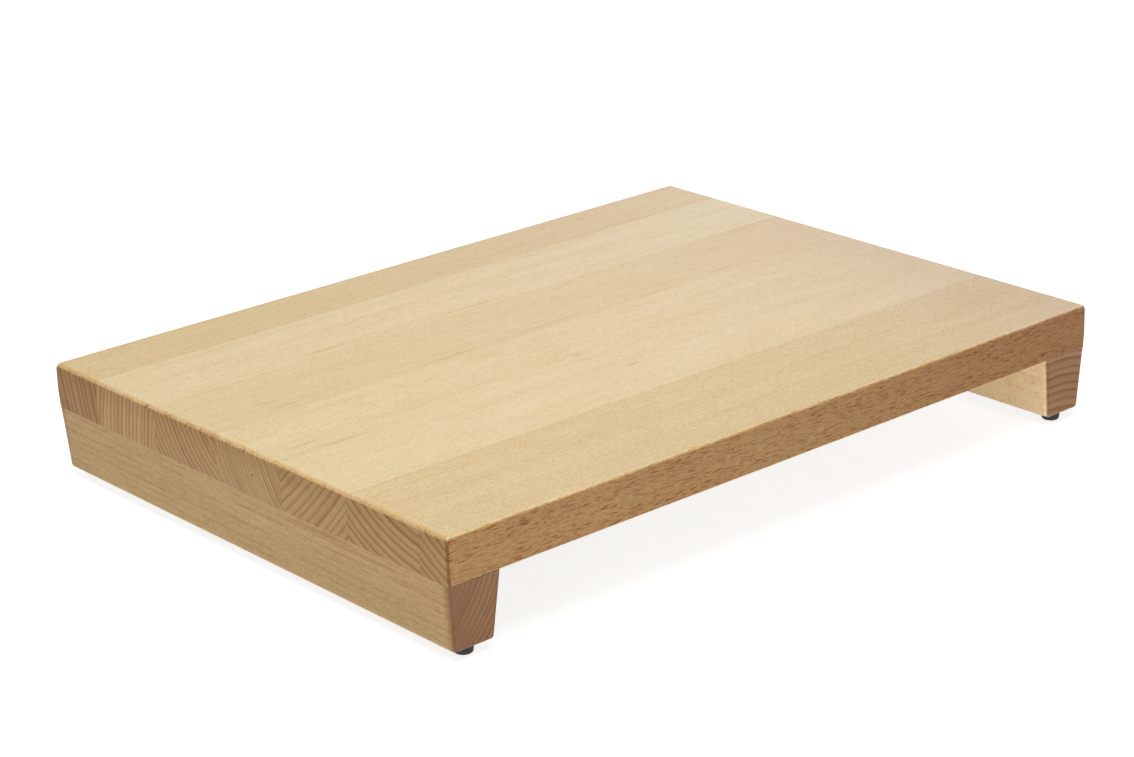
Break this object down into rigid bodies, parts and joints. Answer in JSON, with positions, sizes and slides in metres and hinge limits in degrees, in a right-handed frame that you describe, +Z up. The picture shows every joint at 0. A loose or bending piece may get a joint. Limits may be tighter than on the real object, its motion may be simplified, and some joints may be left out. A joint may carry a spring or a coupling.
{
  "type": "over-the-sink cutting board",
  "caption": "Thick edge-glued beech cutting board, raised on two tapered beech rails under its ends, on rubber feet.",
  "frame": {"origin": "centre of the footprint, on the surface that the rubber feet stand on", "axes": "+X along the board's length and the grain of its staves, -Y towards the user, +Z up"},
  "size_m": [0.48, 0.354, 0.0696],
  "materials": {
    "beech_stave": "oiled, fine sanded",
    "beech_rail": "oiled, fine sanded",
    "foot_rubber": "matt",
    "plated_steel": "zinc plated"
  },
  "bodies": {
    "root": {"stave_1": "beech_stave", "stave_2": "beech_stave", "stave_3": "beech_stave", "stave_4": "beech_stave", "stave_5": "beech_stave", "stave_6": "beech_stave", "stave_7": "beech_stave", "left_rail": "beech_rail", "right_rail": "beech_rail", "left_rail_screws": "plated_steel", "right_rail_screws": "plated_steel", "front_left_foot": "foot_rubber", "front_left_foot_washer": "plated_steel", "front_left_foot_screw": "plated_steel", "back_left_foot": "foot_rubber", "back_left_foot_washer": "plated_steel", "back_left_foot_screw": "plated_steel", "front_right_foot": "foot_rubber", "front_right_foot_washer": "plated_steel", "front_right_foot_screw": "plated_steel", "back_right_foot": "foot_rubber", "back_right_foot_washer": "plated_steel", "back_right_foot_screw": "plated_steel"}
  },
  "joints": []
}
